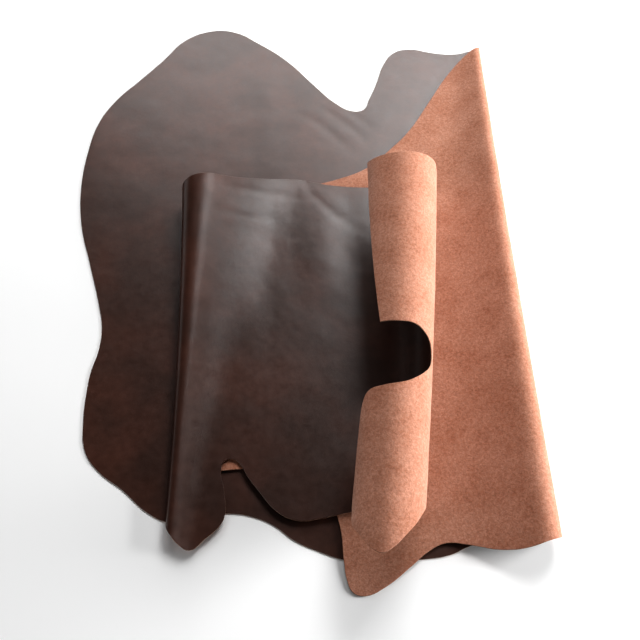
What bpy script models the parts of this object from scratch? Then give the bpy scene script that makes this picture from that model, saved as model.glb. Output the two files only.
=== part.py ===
"""Leather side: half a tanned hide, folded back and forth in four layers.

The side is drawn flat, as it was cut from the hide, and then folded over three lines.
The first fold lays the flesh face up over the butt, the second brings the grain face
up again, and the third is a wide roll that ends in the short free lap.
"""
from collections import namedtuple

import bmesh
import bpy
import numpy as np
from mathutils import Vector

MM = 0.001
PART_NAME = "leather_side"

# The leather
THICKNESS = 2.4 * MM
LAYER_GAP = 2.6 * MM
LAYER_STEP = THICKNESS + LAYER_GAP

# The mesh: steps of the cut line between two points, spacing of the rows across the
# folds and of the columns in each plain stretch between two folds, and the turn of the
# sheet between two slices of a bend. A slice passes through a point that is this near
CUT_STEPS = 3
ROW_SPACING = 90 * MM
COLUMN_SPACINGS = (110 * MM, 110 * MM, 35 * MM)
TURN_STEP = np.radians(16)
SETTLE_SLICES = 6
PROFILE_STEPS = 480
WELD = 0.00005
SLICE_SNAP = 2.5 * MM

# The cut line of the flat side, in mm: along from the butt, across from the belly
Cut = namedtuple("Cut", "along across")
BUTT_END = (
    Cut(254, 101), Cut(212, 118), Cut(160, 162), Cut(112, 197), Cut(83, 236),
    Cut(73, 290), Cut(72, 370), Cut(75, 402), Cut(84, 444), Cut(85, 497),
    Cut(70, 560), Cut(42, 650), Cut(13, 745), Cut(0, 840), Cut(3, 945),
    Cut(19, 1031), Cut(54, 1099), Cut(97, 1152), Cut(148, 1216), Cut(200, 1285),
)
BACK_EDGE = (
    Cut(260, 1314), Cut(319, 1309), Cut(374, 1274), Cut(445, 1216), Cut(514, 1135),
    Cut(559, 1086), Cut(598, 1062), Cut(624, 1065), Cut(638, 1096), Cut(656, 1143),
    Cut(676, 1206), Cut(702, 1243), Cut(738, 1254), Cut(797, 1242), Cut(849, 1238),
    Cut(900, 1250), Cut(925, 1242), Cut(957, 1226), Cut(1001, 1183), Cut(1060, 1100),
    Cut(1117, 1019), Cut(1170, 966), Cut(1227, 920), Cut(1300, 894), Cut(1385, 880),
    Cut(1520, 868), Cut(1640, 873), Cut(1708, 888), Cut(1770, 897), Cut(1854, 916),
    Cut(1921, 926), Cut(1992, 915), Cut(2054, 911), Cut(2144, 914), Cut(2224, 909),
    Cut(2287, 897), Cut(2355, 877), Cut(2408, 864),
)
FREE_END_CORNERS = (Cut(2459, 862), Cut(2347, 483))
LEG_NOTCH = (
    Cut(2312, 488), Cut(2281, 492), Cut(2256, 486), Cut(2237, 476), Cut(2224, 461),
    Cut(2220, 443), Cut(2230, 424), Cut(2243, 409), Cut(2260, 392), Cut(2286, 372),
    Cut(2324, 358), Cut(2356, 347), Cut(2368, 325),
)
FREE_END_TONGUE = (
    Cut(2371, 290), Cut(2374, 200), Cut(2373, 128), Cut(2362, 110), Cut(2336, 92),
    Cut(2304, 70), Cut(2289, 68), Cut(2276, 78), Cut(2248, 116), Cut(2209, 164),
)
BELLY_EDGE = (
    Cut(2160, 197), Cut(2090, 203), Cut(2013, 188), Cut(1965, 176), Cut(1922, 172),
    Cut(1882, 190), Cut(1851, 221), Cut(1824, 251), Cut(1806, 276), Cut(1795, 283),
    Cut(1781, 282), Cut(1774, 271), Cut(1784, 225), Cut(1793, 185), Cut(1789, 164),
    Cut(1764, 135), Cut(1738, 114), Cut(1718, 122), Cut(1696, 143), Cut(1672, 186),
    Cut(1644, 225), Cut(1609, 246), Cut(1546, 252), Cut(1484, 247), Cut(1424, 220),
    Cut(1386, 181), Cut(1373, 130), Cut(1373, 69), Cut(1371, 34), Cut(1362, 12),
    Cut(1342, 5), Cut(1307, 16), Cut(1255, 48), Cut(1223, 70), Cut(1189, 82),
    Cut(1148, 74), Cut(1098, 58), Cut(1050, 53), Cut(996, 62), Cut(955, 70),
    Cut(905, 72), Cut(854, 70), Cut(792, 59), Cut(755, 43), Cut(704, 35),
    Cut(634, 31), Cut(565, 35), Cut(528, 47), Cut(479, 68), Cut(443, 94),
    Cut(410, 109), Cut(355, 118), Cut(300, 110),
)

# The folds, in mm and degrees. The line joins the points of the flat side that end up
# outermost in the fold, near and far being the belly and the back end of it. Size is
# the length of leather in the bend, or the radius of the roll, and easing says how
# fast it grows from near to far. Side is 1 where the rest of the hide turns up over
# the grain face and -1 where it turns down over the flesh face. Overshoot is how far
# past flat the bend turns before it settles. Rest is the height at which it settles.
FoldRow = namedtuple(
    "FoldRow", "name near far bow side size_near size_far easing overshoot rest"
)
FOLD_ROWS = (
    FoldRow("right fold", Cut(965, 76), Cut(912, 1256), -3, 1, 135, 55, 1.0, 24,
            (LAYER_STEP + THICKNESS) / MM),
    FoldRow("left fold", Cut(1689, 126), Cut(1647, 876), -12, -1, 42, 180, 1.8, 28,
            LAYER_GAP / MM),
    FoldRow("roll", Cut(2187, 146), Cut(2255, 886), -18, 1, 66, 75, 1.0, 0, None),
)
# The roll turns through this angle in all, if the leather reaches that far, and eases
# into its round over this arc, in radii
ROLL_TURN = 330
ROLL_EASE_IN = 0.7
# The size goes on changing past either end of the line, for this share of its length
BEYOND_LINE = 0.15

# Soft swells of the folded side, in mm and degrees from the middle of its box: a long
# low bump each, which lifts its layer and all above it, or lets the leg sink to the floor
Swell = namedtuple("Swell", "name right far length width turn height layer")
SWELLS = (
    Swell("ridge by the left fold", -118, -10, 640, 150, 1, 3.6, 2),
    Swell("ridge by the roll", 52, 60, 420, 130, 1, 3.0, 2),
    Swell("leg tip", 118, -672, 210, 240, 0, -4.2, 1),
)

# Finish of the plain solid
LEATHER_COLOUR = (0.075, 0.032, 0.022, 1.0)
LEATHER_ROUGHNESS = 0.42


def smooth_step(x):
    """Rise smoothly from 0 to 1 as x goes from 0 to 1."""
    x = np.clip(x, 0.0, 1.0)
    return x * x * (3.0 - 2.0 * x)


def walk(turns, length):
    """Return where a sheet of this length gets to, outward and upward, as it turns."""
    step = length / (len(turns) - 1)
    middle = (turns[1:] + turns[:-1]) / 2
    outward = np.concatenate([[0.0], np.cumsum(np.cos(middle)) * step])
    upward = np.concatenate([[0.0], np.cumsum(np.sin(middle)) * step])
    return outward, upward


class Fold:
    """One fold line of the flat side, and the curve of the leather across it."""

    def __init__(self, row):
        """Read the row and work out the profile of the fold at size 1."""
        self.row = row
        self.near = np.array([row.near.along, row.near.across]) * MM
        far = np.array([row.far.along, row.far.across]) * MM
        self.length = np.linalg.norm(far - self.near)
        self.direction = (far - self.near) / self.length
        self.outward = np.array([self.direction[1], -self.direction[0]])
        self.settles = row.rest is not None
        share = np.linspace(0.0, 1.0, PROFILE_STEPS + 1)
        if self.settles:
            overshoot = np.radians(row.overshoot)
            self.span = 1.0
            self.turns = (np.pi + overshoot) * smooth_step(share)
            self.settle_turns = np.pi + overshoot * (1.0 - smooth_step(share))
            self.settle_walk = walk(self.settle_turns, 1.0)
        else:
            self.span = np.radians(ROLL_TURN)
            arc = share * self.span
            eased = np.clip(arc / ROLL_EASE_IN, 0.0, 1.0)
            self.turns = ROLL_EASE_IN * (eased ** 3 - eased ** 4 / 2)
            self.turns += np.clip(arc - ROLL_EASE_IN, 0.0, None)
        self.arc = share * self.span
        self.bend_walk = walk(self.turns, self.span)
        self.crest_arc = np.interp(np.pi / 2, self.turns, self.arc)

    def size(self, place):
        """Return the size of the fold at a place along its line, in metres."""
        share = np.clip(place / self.length, -BEYOND_LINE, 1.0 + BEYOND_LINE)
        grown = np.sign(share) * np.abs(share) ** self.row.easing
        return (self.row.size_near + (self.row.size_far - self.row.size_near) * grown) * MM

    def bow(self, place):
        """Return how far the line bows outward at a place along it, in metres."""
        share = np.clip(place / self.length, 0.0, 1.0)
        return self.row.bow * MM * 4.0 * share * (1.0 - share)

    def settle_length(self, size):
        """Return the length of leather that comes down from the bend to its rest."""
        return (size * self.bend_walk[1][-1] - self.row.rest * MM) / -self.settle_walk[1][-1]

    def bend(self, points):
        """Move the points that lie beyond the fold line, and return them all."""
        flat = points[:, :2] - self.near
        place = flat @ self.direction
        size = self.size(place)
        bow = self.bow(place)
        along_sheet = flat @ self.outward - bow + self.crest_arc * size
        bent = np.clip(along_sheet, 0.0, None)
        if self.settles:
            settle = self.settle_length(size)
            bend_share = np.clip(bent / size, 0.0, 1.0)
            settle_share = np.clip((bent - size) / settle, 0.0, 1.0)
            beyond = np.clip(bent - size - settle, 0.0, None)
            out = size * np.interp(bend_share, self.arc, self.bend_walk[0]) - beyond
            out += settle * np.interp(settle_share, self.arc, self.settle_walk[0])
            up = size * np.interp(bend_share, self.arc, self.bend_walk[1])
            up += settle * np.interp(settle_share, self.arc, self.settle_walk[1])
            turn = np.where(
                bent < size,
                np.interp(bend_share, self.arc, self.turns),
                np.interp(settle_share, self.arc, self.settle_turns),
            )
        else:
            out = size * np.interp(bent / size, self.arc, self.bend_walk[0])
            up = size * np.interp(bent / size, self.arc, self.bend_walk[1])
            turn = np.interp(bent / size, self.arc, self.turns)
        side = self.row.side
        height = points[:, 2]
        out += bow - self.crest_arc * size - side * np.sin(turn) * height
        moved = np.empty_like(points)
        moved[:, :2] = self.near + np.outer(out, self.outward) + np.outer(place, self.direction)
        moved[:, 2] = side * up + np.cos(turn) * height
        return np.where((along_sheet > 0.0)[:, None], moved, points)

    def slice_lines(self):
        """Return the lines, as near and far points, where the mesh needs slices."""
        levels = []
        angles = np.arange(TURN_STEP / 2, self.turns[-1], TURN_STEP)
        bend_arcs = np.interp(angles, self.turns, self.arc)
        for place in (0.0, self.length):
            size = self.size(place)
            arcs = np.concatenate([[0.0], bend_arcs, [self.span]]) * size
            if self.settles:
                shares = np.linspace(0.0, 1.0, SETTLE_SLICES + 1)[1:]
                arcs = np.concatenate([arcs, size + shares * self.settle_length(size)])
            start = self.near + self.direction * place
            offsets = arcs - self.crest_arc * size
            levels.append(start + np.outer(offsets, self.outward))
        return list(zip(*levels))


def fold_side(points, folds):
    """Fold the flat side: the last fold is made first, on the flat table."""
    for fold in reversed(folds):
        points = fold.bend(points)
    return points


def swell_side(points):
    """Raise the soft swells, each from nothing at the top of the layer below it."""
    points = points.copy()
    for swell in SWELLS:
        turn = np.radians(swell.turn)
        along = np.array([-np.sin(turn), np.cos(turn)])
        across = np.array([np.cos(turn), np.sin(turn)])
        flat = points[:, :2] - np.array([swell.right, swell.far]) * MM
        reach = np.clip(1.0 - (flat @ along / (swell.length * MM / 2)) ** 2, 0.0, None)
        reach *= np.clip(1.0 - (flat @ across / (swell.width * MM / 2)) ** 2, 0.0, None)
        hold = (points[:, 2] - swell.layer * LAYER_STEP + LAYER_GAP) / LAYER_GAP
        points[:, 2] += swell.height * MM * reach ** 2 * np.clip(hold, 0.0, 1.0)
    return points


def cut_side():
    """Return a bmesh of the flat side as one face, grain face up."""
    curve = bpy.data.curves.new("cutting line", "CURVE")
    curve.dimensions = "2D"
    curve.fill_mode = "BOTH"
    curve.resolution_u = CUT_STEPS
    rows = BUTT_END + BACK_EDGE + FREE_END_CORNERS + LEG_NOTCH + FREE_END_TONGUE + BELLY_EDGE
    spline = curve.splines.new("BEZIER")
    spline.use_cyclic_u = True
    spline.bezier_points.add(len(rows) - 1)
    for point, cut in zip(spline.bezier_points, rows):
        point.co = (cut.along * MM, cut.across * MM, 0.0)
        kind = "VECTOR" if cut in FREE_END_CORNERS else "AUTO"
        point.handle_left_type = kind
        point.handle_right_type = kind
    outline = bpy.data.objects.new("cutting line", curve)
    bpy.context.scene.collection.objects.link(outline)
    graph = bpy.context.evaluated_depsgraph_get()
    mesh = bpy.data.meshes.new_from_object(outline.evaluated_get(graph))
    bpy.data.objects.remove(outline)
    sheet = bmesh.new()
    sheet.from_mesh(mesh)
    bpy.data.meshes.remove(mesh)
    bmesh.ops.remove_doubles(sheet, verts=sheet.verts, dist=WELD)
    bmesh.ops.dissolve_faces(sheet, faces=sheet.faces)
    bmesh.ops.recalc_face_normals(sheet, faces=sheet.faces)
    if sum(face.normal.z for face in sheet.faces) < 0:
        bmesh.ops.reverse_faces(sheet, faces=sheet.faces)
    return sheet


def slice_side(sheet, folds):
    """Slice the flat side along its folds and across them, so that it can bend."""
    planes = []
    plain_start = min(vert.co.x for vert in sheet.verts)
    for fold, spacing in zip(folds, COLUMN_SPACINGS):
        lines = fold.slice_lines()
        for near, far in lines:
            run = far - near
            planes.append((Vector((*near, 0.0)), Vector((run[1], -run[0], 0.0)).normalized()))
        ends = [point[0] for line in lines for point in line]
        for along in np.arange(plain_start + spacing, min(ends) - spacing / 2, spacing):
            planes.append((Vector((along, 0.0, 0.0)), Vector((1.0, 0.0, 0.0))))
        plain_start = max(ends)
    low = min(vert.co.y for vert in sheet.verts)
    high = max(vert.co.y for vert in sheet.verts)
    for across in np.arange(low + ROW_SPACING, high, ROW_SPACING):
        planes.append((Vector((0.0, across, 0.0)), Vector((0.0, 1.0, 0.0))))
    for point, normal in planes:
        geometry = sheet.verts[:] + sheet.edges[:] + sheet.faces[:]
        bmesh.ops.bisect_plane(
            sheet, geom=geometry, dist=SLICE_SNAP, plane_co=point, plane_no=normal
        )
    bmesh.ops.remove_doubles(sheet, verts=sheet.verts, dist=WELD)
    bmesh.ops.triangulate(sheet, faces=sheet.faces)


def leather_material():
    """Return the plain dark brown leather of the solid."""
    material = bpy.data.materials.new("brown leather")
    material.use_nodes = True
    shader = material.node_tree.nodes["Principled BSDF"]
    shader.inputs["Base Color"].default_value = LEATHER_COLOUR
    shader.inputs["Roughness"].default_value = LEATHER_ROUGHNESS
    shader.inputs["Metallic"].default_value = 0.0
    return material


def build_side(collection):
    """Build the folded side with its origin at the bottom centre of its box."""
    folds = [Fold(row) for row in FOLD_ROWS]
    sheet = cut_side()
    slice_side(sheet, folds)
    flat = np.array([vert.co for vert in sheet.verts])
    folded = fold_side(flat, folds)
    middle = (folded.min(axis=0) + folded.max(axis=0)) / 2
    folded[:, :2] -= middle[:2]
    folded = swell_side(folded)
    for vert, place in zip(sheet.verts, folded):
        vert.co = place
    mesh = bpy.data.meshes.new(PART_NAME)
    sheet.to_mesh(mesh)
    sheet.free()
    mesh.shade_smooth()
    mesh.materials.append(leather_material())
    side = bpy.data.objects.new(PART_NAME, mesh)
    collection.objects.link(side)
    wall = side.modifiers.new("leather thickness", "SOLIDIFY")
    wall.thickness = THICKNESS
    wall.offset = 1.0
    wall.use_even_offset = True
    return side


def main():
    """Clear the scene and build the part."""
    for old in list(bpy.data.objects):
        bpy.data.objects.remove(old)
    collection = bpy.data.collections.new(PART_NAME)
    bpy.context.scene.collection.children.link(collection)
    build_side(collection)


main()
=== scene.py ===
"""Leather side, folded back and forth in layers: the finished surface of the part.

The cut line, the folds and the swells are those of the part's source. Here the side is
a fine sheet of real thickness, with soft wrinkles and a raw cut edge all round. Its
grain face is smooth and dark brown, and its flesh face is tan and napped.
"""

import logging
import math
from dataclasses import dataclass
from enum import Enum, IntEnum
from typing import Any, NamedTuple, Optional, Union

import bmesh
import bpy
import numpy as np
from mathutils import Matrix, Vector, noise


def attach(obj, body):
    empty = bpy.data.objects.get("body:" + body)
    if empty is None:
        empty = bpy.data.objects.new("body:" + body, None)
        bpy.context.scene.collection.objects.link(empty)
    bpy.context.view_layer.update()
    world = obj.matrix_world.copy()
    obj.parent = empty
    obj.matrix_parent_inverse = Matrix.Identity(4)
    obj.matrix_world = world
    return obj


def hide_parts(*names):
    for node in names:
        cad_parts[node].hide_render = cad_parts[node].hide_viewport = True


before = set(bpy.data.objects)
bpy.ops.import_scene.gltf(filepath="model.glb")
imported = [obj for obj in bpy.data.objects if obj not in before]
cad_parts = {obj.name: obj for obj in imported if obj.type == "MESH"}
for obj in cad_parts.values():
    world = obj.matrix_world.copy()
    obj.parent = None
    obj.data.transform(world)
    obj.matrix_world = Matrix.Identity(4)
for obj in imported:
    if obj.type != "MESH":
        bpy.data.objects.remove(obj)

LOG = logging.getLogger("leather_side")
MM = 0.001


class Layer(IntEnum):
    """Layers of the folded side, from the surface up."""

    BUTT = 0
    MIDDLE = 1
    TOP = 2


class Skin(IntEnum):
    """The surfaces of the leather, by material slot of the sheet."""

    GRAIN = 0
    FLESH = 1
    CUT_EDGE = 2


class Turn(Enum):
    """Which face of the leather a fold turns inward."""

    OVER_GRAIN = 1
    OVER_FLESH = -1


class Cut(NamedTuple):
    """A place on the flat side, in mm: along from the butt, across from the belly."""

    along: float
    across: float


@dataclass(frozen=True)
class FoldRow:
    """One fold of the side, in mm and degrees.

    The line joins the places that end up outermost in the fold, and near and far are
    its ends at the belly and the back. Size is the length of leather in the bend, or the
    radius of a roll. Easing says how fast it grows from near to far. Overshoot is how far
    past flat the bend turns before the leather settles at its rest height.
    """

    name: str
    near: Cut
    far: Cut
    bow: float
    turn: Turn
    size_near: float
    size_far: float
    easing: float = 1.0
    overshoot: float = 0.0
    rest: Optional[float] = None


@dataclass(frozen=True)
class Swell:
    """A long low bump of the folded side, in mm and degrees from the middle of its box.

    It lifts its layer and all above it, or lets it sink.
    """

    name: str
    right: float
    far: float
    length: float
    width: float
    turn: float
    height: float
    layer: Layer


@dataclass(frozen=True)
class Wrinkle:
    """A soft trough or ridge of the flat side, in mm: a bowed line that fades at its ends.

    Height is positive where the grain face stands up, and width is half its spread.
    """

    name: str
    start: Cut
    end: Cut
    bow: float
    width: float
    height: float


BUTT_END = (
    Cut(254, 101), Cut(212, 118), Cut(160, 162), Cut(112, 197), Cut(83, 236),
    Cut(73, 290), Cut(72, 370), Cut(75, 402), Cut(84, 444), Cut(85, 497),
    Cut(70, 560), Cut(42, 650), Cut(13, 745), Cut(0, 840), Cut(3, 945),
    Cut(19, 1031), Cut(54, 1099), Cut(97, 1152), Cut(148, 1216), Cut(200, 1285),
)
BACK_EDGE = (
    Cut(260, 1314), Cut(319, 1309), Cut(374, 1274), Cut(445, 1216), Cut(514, 1135),
    Cut(559, 1086), Cut(598, 1062), Cut(624, 1065), Cut(638, 1096), Cut(656, 1143),
    Cut(676, 1206), Cut(702, 1243), Cut(738, 1254), Cut(797, 1242), Cut(849, 1238),
    Cut(900, 1250), Cut(925, 1242), Cut(957, 1226), Cut(1001, 1183), Cut(1060, 1100),
    Cut(1117, 1019), Cut(1170, 966), Cut(1227, 920), Cut(1300, 894), Cut(1385, 880),
    Cut(1520, 868), Cut(1640, 873), Cut(1708, 888), Cut(1770, 897), Cut(1854, 916),
    Cut(1921, 926), Cut(1992, 915), Cut(2054, 911), Cut(2144, 914), Cut(2224, 909),
    Cut(2287, 897), Cut(2355, 877), Cut(2408, 864),
)
FREE_END_CORNERS = (Cut(2459, 862), Cut(2347, 483))
LEG_NOTCH = (
    Cut(2312, 488), Cut(2281, 492), Cut(2256, 486), Cut(2237, 476), Cut(2224, 461),
    Cut(2220, 443), Cut(2230, 424), Cut(2243, 409), Cut(2260, 392), Cut(2286, 372),
    Cut(2324, 358), Cut(2356, 347), Cut(2368, 325),
)
FREE_END_TONGUE = (
    Cut(2371, 290), Cut(2374, 200), Cut(2373, 128), Cut(2362, 110), Cut(2336, 92),
    Cut(2304, 70), Cut(2289, 68), Cut(2276, 78), Cut(2248, 116), Cut(2209, 164),
)
BELLY_EDGE = (
    Cut(2160, 197), Cut(2090, 203), Cut(2013, 188), Cut(1965, 176), Cut(1922, 172),
    Cut(1882, 190), Cut(1851, 221), Cut(1824, 251), Cut(1806, 276), Cut(1795, 283),
    Cut(1781, 282), Cut(1774, 271), Cut(1784, 225), Cut(1793, 185), Cut(1789, 164),
    Cut(1764, 135), Cut(1738, 114), Cut(1718, 122), Cut(1696, 143), Cut(1672, 186),
    Cut(1644, 225), Cut(1609, 246), Cut(1546, 252), Cut(1484, 247), Cut(1424, 220),
    Cut(1386, 181), Cut(1373, 130), Cut(1373, 69), Cut(1371, 34), Cut(1362, 12),
    Cut(1342, 5), Cut(1307, 16), Cut(1255, 48), Cut(1223, 70), Cut(1189, 82),
    Cut(1148, 74), Cut(1098, 58), Cut(1050, 53), Cut(996, 62), Cut(955, 70),
    Cut(905, 72), Cut(854, 70), Cut(792, 59), Cut(755, 43), Cut(704, 35),
    Cut(634, 31), Cut(565, 35), Cut(528, 47), Cut(479, 68), Cut(443, 94),
    Cut(410, 109), Cut(355, 118), Cut(300, 110),
)
CUT_LINE = BUTT_END + BACK_EDGE + FREE_END_CORNERS + LEG_NOTCH + FREE_END_TONGUE + BELLY_EDGE

THICKNESS = 2.4 * MM
LAYER_GAP = 2.6 * MM
LAYER_STEP = THICKNESS + LAYER_GAP

RIGHT_FOLD = FoldRow(
    "right fold", Cut(965, 76), Cut(912, 1256), -3, Turn.OVER_GRAIN, 135, 55,
    overshoot=24, rest=(LAYER_STEP + THICKNESS) / MM,
)
LEFT_FOLD = FoldRow(
    "left fold", Cut(1689, 126), Cut(1647, 876), -12, Turn.OVER_FLESH, 42, 180,
    easing=1.8, overshoot=28, rest=LAYER_GAP / MM,
)
ROLL = FoldRow("roll", Cut(2187, 146), Cut(2255, 886), -18, Turn.OVER_GRAIN, 66, 75)
SWELLS = (
    Swell("ridge by the left fold", -118, -10, 640, 150, 1, 3.6, Layer.TOP),
    Swell("ridge by the roll", 52, 60, 420, 130, 1, 3.0, Layer.TOP),
    Swell("leg tip", 118, -672, 210, 240, 0, -4.2, Layer.MIDDLE),
)
WRINKLES = (
    Wrinkle("crease of the far edge", Cut(1925, 940), Cut(2075, 780), -18, 12, -0.7),
    Wrinkle("first neck wrinkle", Cut(1725, 862), Cut(1965, 874), 12, 7, -0.5),
    Wrinkle("second neck wrinkle", Cut(1740, 812), Cut(1920, 838), -8, 6, -0.35),
    Wrinkle("third neck wrinkle", Cut(1930, 800), Cut(2080, 840), 9, 6, -0.35),
    Wrinkle("flank ridge", Cut(392, 1300), Cut(400, 860), 8, 26, 0.9),
    Wrinkle("first belly wrinkle", Cut(470, 1060), Cut(600, 930), 12, 8, -0.6),
    Wrinkle("second belly wrinkle", Cut(505, 1085), Cut(640, 955), 10, 7, -0.6),
    Wrinkle("third belly wrinkle", Cut(560, 1075), Cut(665, 985), 8, 6, -0.5),
    Wrinkle("shank wrinkle", Cut(665, 1150), Cut(800, 1128), 9, 7, -0.5),
)


def smooth_step(x: np.ndarray) -> np.ndarray:
    """Return x held from 0 to 1 and eased at both ends."""
    x = np.clip(x, 0.0, 1.0)
    return x * x * (3.0 - 2.0 * x)


def walk(turns: np.ndarray, length: float) -> tuple[np.ndarray, np.ndarray]:
    """Follow a sheet as it turns.

    Args:
        turns: the sheet's turn from flat at even steps, in radians.
        length: its whole length.

    Returns:
        How far it has gone outward, and upward, at each step.
    """
    step = length / (len(turns) - 1)
    middle = (turns[1:] + turns[:-1]) / 2
    outward = np.concatenate([[0.0], np.cumsum(np.cos(middle)) * step])
    upward = np.concatenate([[0.0], np.cumsum(np.sin(middle)) * step])
    return outward, upward


class Fold:
    """A fold line of the flat side, and the curve of the leather across it."""

    PROFILE_STEPS = 480
    ROLL_TURN = 330
    ROLL_EASE_IN = 0.7
    BEYOND_LINE = 0.15

    def __init__(self, row: FoldRow) -> None:
        """Work out the fold's profile at size 1.

        Args:
            row: the fold's places and sizes.
        """
        self.row = row
        self.near = np.array(row.near) * MM
        run = np.array(row.far) * MM - self.near
        self.length = float(np.linalg.norm(run))
        self.direction = run / self.length
        self.outward = np.array([self.direction[1], -self.direction[0]])
        self.settles = row.rest is not None
        share = np.linspace(0.0, 1.0, self.PROFILE_STEPS + 1)
        if self.settles:
            overshoot = math.radians(row.overshoot)
            self.span = 1.0
            self.turns = (math.pi + overshoot) * smooth_step(share)
            self.settle_turns = math.pi + overshoot * (1.0 - smooth_step(share))
            self.settle_walk = walk(self.settle_turns, 1.0)
        else:
            self.span = math.radians(self.ROLL_TURN)
            arc = share * self.span
            eased = np.clip(arc / self.ROLL_EASE_IN, 0.0, 1.0)
            self.turns = self.ROLL_EASE_IN * (eased**3 - eased**4 / 2)
            self.turns += np.clip(arc - self.ROLL_EASE_IN, 0.0, None)
        self.arc = share * self.span
        self.bend_walk = walk(self.turns, self.span)
        self.crest_arc = float(np.interp(math.pi / 2, self.turns, self.arc))

    def size(self, place: Union[float, np.ndarray]) -> Any:
        """Return the fold's size at a place along its line, in metres."""
        share = np.clip(place / self.length, -self.BEYOND_LINE, 1.0 + self.BEYOND_LINE)
        grown = np.sign(share) * np.abs(share) ** self.row.easing
        return (self.row.size_near + (self.row.size_far - self.row.size_near) * grown) * MM

    def bow(self, place: np.ndarray) -> np.ndarray:
        """Return how far the line bows outward at each place, in metres."""
        share = np.clip(place / self.length, 0.0, 1.0)
        return self.row.bow * MM * 4.0 * share * (1.0 - share)

    def settle_length(self, size: Any) -> Any:
        """Return the length of leather that comes down from the bend to its rest."""
        return (size * self.bend_walk[1][-1] - self.row.rest * MM) / -self.settle_walk[1][-1]

    def bend(self, points: np.ndarray) -> np.ndarray:
        """Move what lies beyond the fold line.

        Args:
            points: places along, across and above the flat side, in metres.

        Returns:
            The places after the fold.
        """
        flat = points[:, :2] - self.near
        place = flat @ self.direction
        size = self.size(place)
        bow = self.bow(place)
        along_sheet = flat @ self.outward - bow + self.crest_arc * size
        bent = np.clip(along_sheet, 0.0, None)
        if self.settles:
            settle = self.settle_length(size)
            bend_share = np.clip(bent / size, 0.0, 1.0)
            settle_share = np.clip((bent - size) / settle, 0.0, 1.0)
            out = size * np.interp(bend_share, self.arc, self.bend_walk[0])
            out += settle * np.interp(settle_share, self.arc, self.settle_walk[0])
            out -= np.clip(bent - size - settle, 0.0, None)
            up = size * np.interp(bend_share, self.arc, self.bend_walk[1])
            up += settle * np.interp(settle_share, self.arc, self.settle_walk[1])
            turn = np.where(
                bent < size,
                np.interp(bend_share, self.arc, self.turns),
                np.interp(settle_share, self.arc, self.settle_turns),
            )
        else:
            out = size * np.interp(bent / size, self.arc, self.bend_walk[0])
            up = size * np.interp(bent / size, self.arc, self.bend_walk[1])
            turn = np.interp(bent / size, self.arc, self.turns)
        side = self.row.turn.value
        height = points[:, 2]
        out += bow - self.crest_arc * size - side * np.sin(turn) * height
        moved = np.empty_like(points)
        moved[:, :2] = self.near + np.outer(out, self.outward) + np.outer(place, self.direction)
        moved[:, 2] = side * up + np.cos(turn) * height
        return np.where((along_sheet > 0.0)[:, None], moved, points)

    def slice_lines(self, turn_step: float, spacing: float) -> list[tuple[np.ndarray, np.ndarray]]:
        """Place the slices that let the sheet bend.

        Args:
            turn_step: the turn of the sheet between two slices, in radians.
            spacing: the most leather between two slices where it settles.

        Returns:
            The near and the far point of each slice.
        """
        wide = self.size(max((0.0, self.length), key=self.size))
        bend_count = math.ceil(self.turns[-1] / turn_step)
        bend_shares = np.linspace(0.0, self.span, bend_count + 1)
        settle_count = math.ceil(self.settle_length(wide) / spacing) if self.settles else 0
        levels = []
        for place in (0.0, self.length):
            size = self.size(place)
            arcs = bend_shares * size
            if settle_count:
                shares = np.linspace(0.0, 1.0, settle_count + 1)[1:]
                arcs = np.concatenate([arcs, size + shares * self.settle_length(size)])
            start = self.near + self.direction * place
            levels.append(start + np.outer(arcs - self.crest_arc * size, self.outward))
        return list(zip(*levels))


@dataclass(frozen=True)
class FineSheet:
    """Sizes of the fine mesh, in metres and radians."""

    cut_steps: int = 5
    spacing: float = 8.0 * MM
    turn_step: float = math.radians(7.5)
    snap: float = 1.2 * MM
    weld: float = 0.00005
    rim_width: float = 0.7 * MM
    rim_drop: float = 0.45 * MM
    sharp_angle: float = math.radians(30)


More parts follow.
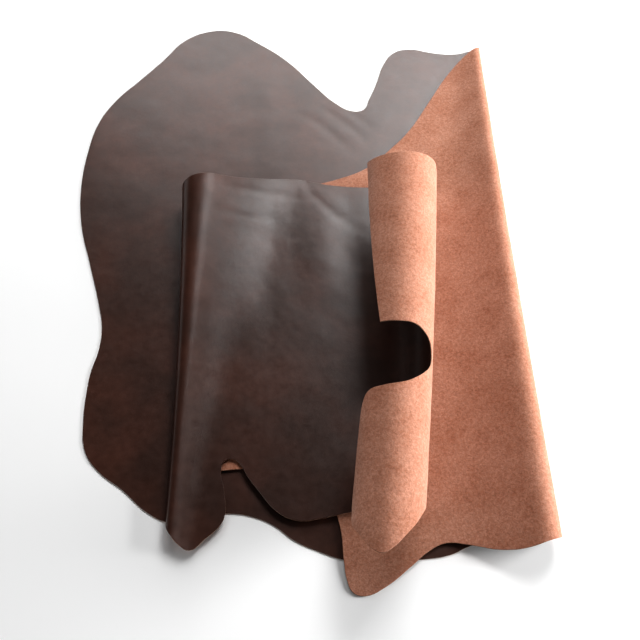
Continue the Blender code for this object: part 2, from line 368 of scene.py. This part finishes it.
@dataclass
class LeatherSide:
    """The side itself: its cut, its folds and its finish."""

    name: str = "leather_side_skin"
    mesh_sizes: FineSheet = FineSheet()
    cockle_height: float = 0.35 * MM
    cockle_length: float = 70 * MM

    def __post_init__(self) -> None:
        """Work out the folds."""
        self.folds = [Fold(RIGHT_FOLD), Fold(LEFT_FOLD), Fold(ROLL)]

    def cut(self) -> bmesh.types.BMesh:
        """Cut the flat side.

        Returns:
            A bmesh with one face, grain up, and a narrow rim of faces round it.
        """
        curve = bpy.data.curves.new("cutting line", "CURVE")
        curve.dimensions = "2D"
        curve.fill_mode = "BOTH"
        curve.resolution_u = self.mesh_sizes.cut_steps
        spline = curve.splines.new("BEZIER")
        spline.use_cyclic_u = True
        spline.bezier_points.add(len(CUT_LINE) - 1)
        for point, place in zip(spline.bezier_points, CUT_LINE):
            point.co = (place.along * MM, place.across * MM, 0.0)
            kind = "VECTOR" if place in FREE_END_CORNERS else "AUTO"
            point.handle_left_type = kind
            point.handle_right_type = kind
        outline = bpy.data.objects.new("cutting line", curve)
        bpy.context.scene.collection.objects.link(outline)
        graph = bpy.context.evaluated_depsgraph_get()
        mesh = bpy.data.meshes.new_from_object(outline.evaluated_get(graph))
        bpy.data.objects.remove(outline)
        sheet = bmesh.new()
        sheet.from_mesh(mesh)
        bpy.data.meshes.remove(mesh)
        bmesh.ops.remove_doubles(sheet, verts=sheet.verts, dist=self.mesh_sizes.weld)
        bmesh.ops.dissolve_faces(sheet, faces=sheet.faces)
        if sum(face.normal.z for face in sheet.faces) < 0:
            bmesh.ops.reverse_faces(sheet, faces=sheet.faces)
        bmesh.ops.inset_region(
            sheet,
            faces=sheet.faces[:],
            use_boundary=True,
            use_even_offset=True,
            thickness=self.mesh_sizes.rim_width,
        )
        return sheet

    def slice(self, sheet: bmesh.types.BMesh) -> None:
        """Slice the flat sheet along its folds and across them."""
        sizes = self.mesh_sizes
        planes = []
        plain_start = min(vert.co.x for vert in sheet.verts)
        for fold in self.folds:
            lines = fold.slice_lines(sizes.turn_step, sizes.spacing)
            plain_end = max(point[0] for point in lines[0])
            count = math.ceil((plain_end - plain_start) / sizes.spacing)
            for along in np.linspace(plain_start, plain_end, count + 1)[1:-1]:
                planes.append((Vector((along, 0.0, 0.0)), Vector((1.0, 0.0, 0.0))))
            for near, far in lines:
                run = far - near
                planes.append((Vector((*near, 0.0)), Vector((run[1], -run[0], 0.0)).normalized()))
            plain_start = min(point[0] for point in lines[-1])
        low = min(vert.co.y for vert in sheet.verts)
        high = max(vert.co.y for vert in sheet.verts)
        for across in np.arange(low + sizes.spacing, high, sizes.spacing):
            planes.append((Vector((0.0, across, 0.0)), Vector((0.0, 1.0, 0.0))))
        for point, normal in planes:
            geometry = sheet.verts[:] + sheet.edges[:] + sheet.faces[:]
            bmesh.ops.bisect_plane(
                sheet, geom=geometry, dist=sizes.weld, plane_co=point, plane_no=normal
            )
        bmesh.ops.triangulate(sheet, faces=sheet.faces)

    def thicken(self, sheet: bmesh.types.BMesh) -> None:
        """Give the flat sheet its thickness, its chamfered rim and its material slots."""
        rim_edges = [edge for edge in sheet.edges if edge.is_boundary]
        rim = {vert for edge in rim_edges for vert in edge.verts}
        for vert in rim:
            vert.co.z = -self.mesh_sizes.rim_drop
        made = bmesh.ops.extrude_face_region(sheet, geom=sheet.faces[:], use_keep_orig=True)
        upper = {item for item in made["geom"] if isinstance(item, bmesh.types.BMVert)}
        for vert in upper:
            vert.co.z += THICKNESS
        lower = [vert for vert in sheet.verts if vert not in upper]
        for vert in lower:
            vert.co.z = -vert.co.z
        for face in sheet.faces:
            heights = sum(vert in upper for vert in face.verts)
            if heights == len(face.verts):
                face.material_index = Skin.GRAIN
            elif heights == 0:
                face.material_index = Skin.FLESH
                face.normal_flip()
            else:
                face.material_index = Skin.CUT_EDGE

    def cockle(self, flat: np.ndarray) -> np.ndarray:
        """Return the slight unevenness of the leather at places on the flat side."""
        scale = 1.0 / self.cockle_length
        return np.array(
            [noise.fractal(Vector((x * scale, y * scale, 0.5)), 0.6, 2.0, 3) for x, y in flat]
        ) * self.cockle_height

    @staticmethod
    def wrinkle(flat: np.ndarray, row: Wrinkle) -> np.ndarray:
        """Return one wrinkle's height at places on the flat side."""
        start = np.array(row.start) * MM
        run = np.array(row.end) * MM - start
        length = np.linalg.norm(run)
        run = run / length
        share = (flat - start) @ run / length
        aside = (flat - start) @ np.array([-run[1], run[0]])
        aside = aside - row.bow * MM * 4.0 * share * (1.0 - share)
        fade = np.clip(4.0 * share * (1.0 - share), 0.0, None)
        return row.height * MM * fade * np.exp(-((aside / (row.width * MM)) ** 2))

    @staticmethod
    def swell(points: np.ndarray) -> np.ndarray:
        """Raise the soft swells, each from nothing at the top of the layer below it."""
        points = points.copy()
        for row in SWELLS:
            turn = math.radians(row.turn)
            along = np.array([-math.sin(turn), math.cos(turn)])
            across = np.array([math.cos(turn), math.sin(turn)])
            flat = points[:, :2] - np.array([row.right, row.far]) * MM
            reach = np.clip(1.0 - (flat @ along / (row.length * MM / 2)) ** 2, 0.0, None)
            reach *= np.clip(1.0 - (flat @ across / (row.width * MM / 2)) ** 2, 0.0, None)
            hold = (points[:, 2] - row.layer * LAYER_STEP + LAYER_GAP) / LAYER_GAP
            points[:, 2] += row.height * MM * reach**2 * np.clip(hold, 0.0, 1.0)
        return points

    def fold(self, points: np.ndarray) -> np.ndarray:
        """Fold the flat side and lay it where the solid lies.

        Args:
            points: places along, across and above the flat side, in metres.

        Returns:
            The places in the part's frame.
        """
        for fold in reversed(self.folds):
            points = fold.bend(points)
        low, high = points.min(axis=0), points.max(axis=0)
        points[:, :2] -= (low[:2] + high[:2]) / 2
        return self.swell(points)

    def build(self) -> bpy.types.Object:
        """Build the folded side.

        Returns:
            The finished piece, with its flat places kept as an attribute.
        """
        sheet = self.cut()
        self.slice(sheet)
        self.thicken(sheet)
        flat = np.array([vert.co for vert in sheet.verts])
        relief = self.cockle(flat[:, :2])
        for row in WRINKLES:
            relief += self.wrinkle(flat[:, :2], row)
        raised = flat.copy()
        raised[:, 2] += relief
        folded = self.fold(raised)
        for vert, place in zip(sheet.verts, folded):
            vert.co = place
        mesh = bpy.data.meshes.new(self.name)
        sheet.to_mesh(mesh)
        sheet.free()
        places = mesh.attributes.new("flat", "FLOAT_VECTOR", "POINT")
        places.data.foreach_set("vector", flat.astype(np.float32).ravel())
        mesh.shade_smooth()
        mesh.set_sharp_from_angle(angle=self.mesh_sizes.sharp_angle)
        side = bpy.data.objects.new(self.name, mesh)
        bpy.context.scene.collection.objects.link(side)
        return side

    def dress(self, side: bpy.types.Object) -> None:
        """Give the side its three finishes, one for each surface."""
        for finish in (GrainFinish(), FleshFinish(), EdgeFinish()):
            side.data.materials.append(finish.material())

    def declare(self, side: bpy.types.Object) -> None:
        """Hang the piece under the root body and hide the part's solid, which it stands in for."""
        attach(side, "root")
        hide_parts("leather_side")


class Signal:
    """A shader value, which Python's operators extend with Math nodes."""

    def __init__(self, graph: "Graph", socket: bpy.types.NodeSocket) -> None:
        """Wrap a socket of a graph's node."""
        self.graph = graph
        self.socket = socket

    def join(self, operation: str, *values: Union["Signal", float]) -> "Signal":
        """Return the result of a Math node on these values."""
        node = self.graph.add(
            "ShaderNodeMath", {"operation": operation}, dict(enumerate(values))
        )
        return Signal(self.graph, node.outputs[0])

    def __add__(self, other: Union["Signal", float]) -> "Signal":
        """Return the sum."""
        return self.join("ADD", self, other)

    __radd__ = __add__

    def __mul__(self, other: Union["Signal", float]) -> "Signal":
        """Return the product."""
        return self.join("MULTIPLY", self, other)

    __rmul__ = __mul__

    def ease(self, low: float, high: float) -> "Signal":
        """Return 0 at low and 1 at high, eased between."""
        node = self.graph.add(
            "ShaderNodeMapRange",
            {"interpolation_type": "SMOOTHSTEP"},
            {"Value": self, "From Min": low, "From Max": high},
        )
        return Signal(self.graph, node.outputs["Result"])


class Graph:
    """The nodes of one material."""

    def __init__(self, name: str) -> None:
        """Start a material whose nodes end in one Principled shader."""
        self.material = bpy.data.materials.new(name)
        self.material.use_nodes = True
        self.tree = self.material.node_tree
        self.shader = self.tree.nodes["Principled BSDF"]
        flat = self.add("ShaderNodeAttribute", {"attribute_name": "flat"}, {})
        self.flat = flat.outputs["Vector"]

    def add(self, kind: str, settings: dict[str, Any], sockets: dict[Any, Any]) -> bpy.types.Node:
        """Add any node.

        Args:
            kind: the node's type.
            settings: its own settings, which are set first.
            sockets: a value, signal or socket for each input, by name or number.

        Returns:
            The node.
        """
        node = self.tree.nodes.new(kind)
        for key, value in settings.items():
            setattr(node, key, value)
        for key, value in sockets.items():
            self.feed(node.inputs[key], value)
        return node

    def feed(self, socket: bpy.types.NodeSocket, value: Any) -> None:
        """Link a signal or a socket to an input, or set the input's value."""
        if isinstance(value, Signal):
            value = value.socket
        if isinstance(value, bpy.types.NodeSocket):
            self.tree.links.new(value, socket)
        else:
            socket.default_value = value

    def moved(self, offset: tuple[float, float, float]) -> bpy.types.NodeSocket:
        """Return the flat places, moved, so that two patterns don't repeat each other."""
        node = self.add(
            "ShaderNodeVectorMath", {"operation": "ADD"}, {0: self.flat, 1: offset}
        )
        return node.outputs[0]

    def cloud(self, size: float, detail: float, seed: float, warp: float = 0.0) -> Signal:
        """Return soft noise from 0 to 1.

        Args:
            size: the width of a cloud, in metres.
            detail: how many finer octaves it has.
            seed: the offset of its pattern.
            warp: how much it is distorted.

        Returns:
            The noise.
        """
        node = self.add(
            "ShaderNodeTexNoise",
            {},
            {
                "Vector": self.moved((seed, seed / 3, seed / 7)),
                "Scale": 1.0 / size,
                "Detail": detail,
                "Distortion": warp,
            },
        )
        return Signal(self, node.outputs["Fac"])

    def cells(self, size: float, seed: float) -> Signal:
        """Return the distance to the nearest cell border, in cells."""
        node = self.add(
            "ShaderNodeTexVoronoi",
            {"feature": "DISTANCE_TO_EDGE"},
            {"Vector": self.moved((seed, seed / 3, seed / 7)), "Scale": 1.0 / size},
        )
        return Signal(self, node.outputs["Distance"])

    def mix(self, share: Signal, low: Any, high: Any) -> bpy.types.NodeSocket:
        """Return a colour between low and high, by share."""
        node = self.add(
            "ShaderNodeMix", {"data_type": "RGBA"}, {"Factor": share, 6: low, 7: high}
        )
        return node.outputs[2]

    def darken(self, colour: Any, share: Signal) -> bpy.types.NodeSocket:
        """Return a colour times a share."""
        grey = self.add("ShaderNodeCombineColor", {}, {0: share, 1: share, 2: share})
        node = self.add(
            "ShaderNodeMix",
            {"data_type": "RGBA", "blend_type": "MULTIPLY"},
            {"Factor": 1.0, 6: colour, 7: grey.outputs[0]},
        )
        return node.outputs[2]

    def bump(self, height: Signal, distance: float, strength: float = 1.0) -> None:
        """Feed the shader's normal from a height.

        Args:
            height: the height, where 1 is the full distance.
            distance: that distance, in metres.
            strength: how much of it counts.
        """
        node = self.add(
            "ShaderNodeBump", {}, {"Strength": strength, "Distance": distance, "Height": height}
        )
        self.feed(self.shader.inputs["Normal"], node.outputs["Normal"])

    def settle(self, **values: Any) -> None:
        """Set or feed the shader's inputs, named with underscores for spaces."""
        for key, value in values.items():
            self.feed(self.shader.inputs[key.replace("_", " ")], value)


Colour = tuple[float, float, float, float]


@dataclass(frozen=True)
class GrainFinish:
    """Smooth dark brown grain with a soft sheen, fine pores and faint tonal clouds."""

    dark: Colour = (0.0360, 0.0125, 0.0070, 1.0)
    red: Colour = (0.0560, 0.0185, 0.0105, 1.0)
    cloud_size: float = 120 * MM
    mottle_size: float = 14 * MM
    mottle_depth: float = 0.6
    roughness: float = 0.29
    mottle_roughness: float = 0.14
    pore_size: float = 1.3 * MM
    pore_share: float = 0.5
    pebble_size: float = 5 * MM
    pebble_share: float = 2.5
    relief: float = 0.05 * MM

    def material(self) -> bpy.types.Material:
        """Return the grain's material."""
        graph = Graph("brown grain")
        cloud = graph.cloud(self.cloud_size, 3, 1.7).ease(0.35, 0.68)
        mottle = graph.cloud(self.mottle_size, 4, 4.1)
        tone = mottle * self.mottle_depth + (1.0 - self.mottle_depth / 2)
        pores = graph.cells(self.pore_size, 2.3).ease(0.0, 0.35)
        pebble = graph.cloud(self.pebble_size, 3, 6.3)
        graph.settle(
            Base_Color=graph.darken(graph.mix(cloud, self.dark, self.red), tone),
            Roughness=mottle * self.mottle_roughness + self.roughness,
            Specular_IOR_Level=0.5,
        )
        graph.bump(pores * self.pore_share + pebble * self.pebble_share, self.relief)
        return graph.material


@dataclass(frozen=True)
class FleshFinish:
    """Tan napped flesh with a speckled nap and cloudy, slightly pinker patches."""

    deep: Colour = (0.30, 0.121, 0.070, 1.0)
    pale: Colour = (0.42, 0.206, 0.140, 1.0)
    cloud_size: float = 60 * MM
    cloud_share: float = 0.4
    fibre_size: float = 5.5 * MM
    speck_size: float = 2.4 * MM
    speck_depth: float = 0.9
    nap_depth: float = 0.45 * MM

    def material(self) -> bpy.types.Material:
        """Return the flesh's material."""
        graph = Graph("tan flesh")
        cloud = graph.cloud(self.cloud_size, 3, 3.9).ease(0.3, 0.7)
        fibre = graph.cloud(self.fibre_size, 4, 8.4, 0.6)
        speck = graph.cloud(self.speck_size, 2, 5.2)
        patches = cloud * self.cloud_share + fibre.ease(0.35, 0.65) * (1.0 - self.cloud_share)
        tone = speck * self.speck_depth + (1.0 - self.speck_depth / 2)
        graph.settle(
            Base_Color=graph.darken(graph.mix(patches, self.deep, self.pale), tone),
            Roughness=0.92,
            Specular_IOR_Level=0.25,
            Sheen_Weight=0.25,
            Sheen_Roughness=0.45,
            Sheen_Tint=(1.0, 0.86, 0.78, 1.0),
        )
        graph.bump(speck * 0.6 + fibre * 0.4, self.nap_depth)
        return graph.material


@dataclass(frozen=True)
class EdgeFinish:
    """Pale raw edge, with the fibres of the cut."""

    deep: Colour = (0.26, 0.13, 0.08, 1.0)
    pale: Colour = (0.62, 0.42, 0.30, 1.0)
    fibre_size: float = 0.8 * MM
    fibre_depth: float = 0.15 * MM

    def material(self) -> bpy.types.Material:
        """Return the cut edge's material."""
        graph = Graph("raw cut edge")
        fibre = graph.cloud(self.fibre_size, 3, 7.7)
        graph.settle(
            Base_Color=graph.mix(fibre.ease(0.3, 0.7), self.deep, self.pale),
            Roughness=0.9,
            Specular_IOR_Level=0.2,
        )
        graph.bump(fibre, self.fibre_depth)
        return graph.material


@dataclass(frozen=True)
class SoftLight:
    """A soft square light that shines at a target, in metres and degrees."""

    name: str
    azimuth: float
    elevation: float
    distance: float
    width: float
    height: float
    power: float


@dataclass
class Studio:
    """The pale floor, the soft lights and the camera."""

    floor_size: float = 14.0
    floor_colour: Colour = (0.92, 0.92, 0.92, 1.0)
    sky: Colour = (1.0, 1.0, 1.0, 1.0)
    sky_strength: float = 0.05
    horizon_strength: float = 0.75
    horizon_height: float = 0.30
    target: tuple[float, float, float] = (0.0499, -0.1280, 0.0)
    camera_elevation: float = 62.0
    camera_distance: float = 1.8
    lens: float = 50.0
    sensor: float = 36.0
    lights: tuple[SoftLight, ...] = (
        SoftLight("main", 0, 13, 3.0, 1.2, 1.2, 180),
        SoftLight("far right", 60, 45, 3.0, 1.3, 1.3, 62),
        SoftLight("far", 95, 34, 3.0, 1.9, 1.1, 40),
        SoftLight("near left", 212, 30, 3.0, 1.2, 1.2, 8),
    )

    def build(self) -> None:
        """Build the floor, the lights, the sky and the camera."""
        self.add_floor()
        for light in self.lights:
            self.add_light(light)
        self.add_sky()
        bpy.context.scene.view_settings.view_transform = "Standard"
        bpy.context.scene.view_settings.look = "Medium High Contrast"
        self.add_camera()

    def add_sky(self) -> None:
        """Build the dim sky, which turns pale towards the horizon."""
        world = bpy.data.worlds.new("sky")
        world.use_nodes = True
        tree = world.node_tree
        background = tree.nodes["Background"]
        background.inputs["Color"].default_value = self.sky
        place = tree.nodes.new("ShaderNodeTexCoord")
        split = tree.nodes.new("ShaderNodeSeparateXYZ")
        glow = tree.nodes.new("ShaderNodeMapRange")
        glow.interpolation_type = "SMOOTHSTEP"
        glow.inputs["From Max"].default_value = self.horizon_height
        glow.inputs["To Min"].default_value = self.horizon_strength
        glow.inputs["To Max"].default_value = self.sky_strength
        tree.links.new(place.outputs["Generated"], split.inputs["Vector"])
        tree.links.new(split.outputs["Z"], glow.inputs["Value"])
        tree.links.new(glow.outputs["Result"], background.inputs["Strength"])
        bpy.context.scene.world = world

    def add_floor(self) -> None:
        """Build the floor."""
        plane = bmesh.new()
        bmesh.ops.create_grid(plane, x_segments=1, y_segments=1, size=self.floor_size / 2)
        mesh = bpy.data.meshes.new("floor")
        plane.to_mesh(mesh)
        plane.free()
        material = bpy.data.materials.new("pale floor")
        material.use_nodes = True
        shader = material.node_tree.nodes["Principled BSDF"]
        shader.inputs["Base Color"].default_value = self.floor_colour
        shader.inputs["Roughness"].default_value = 0.9
        mesh.materials.append(material)
        floor = bpy.data.objects.new("floor", mesh)
        bpy.context.scene.collection.objects.link(floor)

    def add_light(self, light: SoftLight) -> None:
        """Hang one light, its face towards the target."""
        data = bpy.data.lights.new(light.name, "AREA")
        data.shape = "RECTANGLE"
        data.size = light.width
        data.size_y = light.height
        data.energy = light.power
        lamp = bpy.data.objects.new(light.name, data)
        turn, lift = math.radians(light.azimuth), math.radians(light.elevation)
        flat = math.cos(lift)
        away = Vector((math.cos(turn) * flat, math.sin(turn) * flat, math.sin(lift)))
        lamp.location = away * light.distance
        lamp.rotation_euler = away.to_track_quat("Z", "Y").to_euler()
        bpy.context.scene.collection.objects.link(lamp)

    def add_camera(self) -> None:
        """Place the camera, looking along +Y and down at the target."""
        data = bpy.data.cameras.new("camera")
        data.lens = self.lens
        data.sensor_width = self.sensor
        camera = bpy.data.objects.new("camera", data)
        lift = math.radians(self.camera_elevation)
        away = Vector((0.0, -math.cos(lift), math.sin(lift)))
        camera.location = Vector(self.target) + away * self.camera_distance
        camera.rotation_euler = (math.radians(90.0) - lift, 0.0, 0.0)
        bpy.context.scene.collection.objects.link(camera)
        bpy.context.scene.camera = camera


def main() -> None:
    """Build the studio and the side."""
    logging.basicConfig(level=logging.INFO)
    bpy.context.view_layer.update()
    Studio().build()
    leather = LeatherSide()
    side = leather.build()
    leather.dress(side)
    leather.declare(side)
    LOG.info("%s: %d faces", side.name, len(side.data.polygons))


if __name__ == "__main__":
    main()
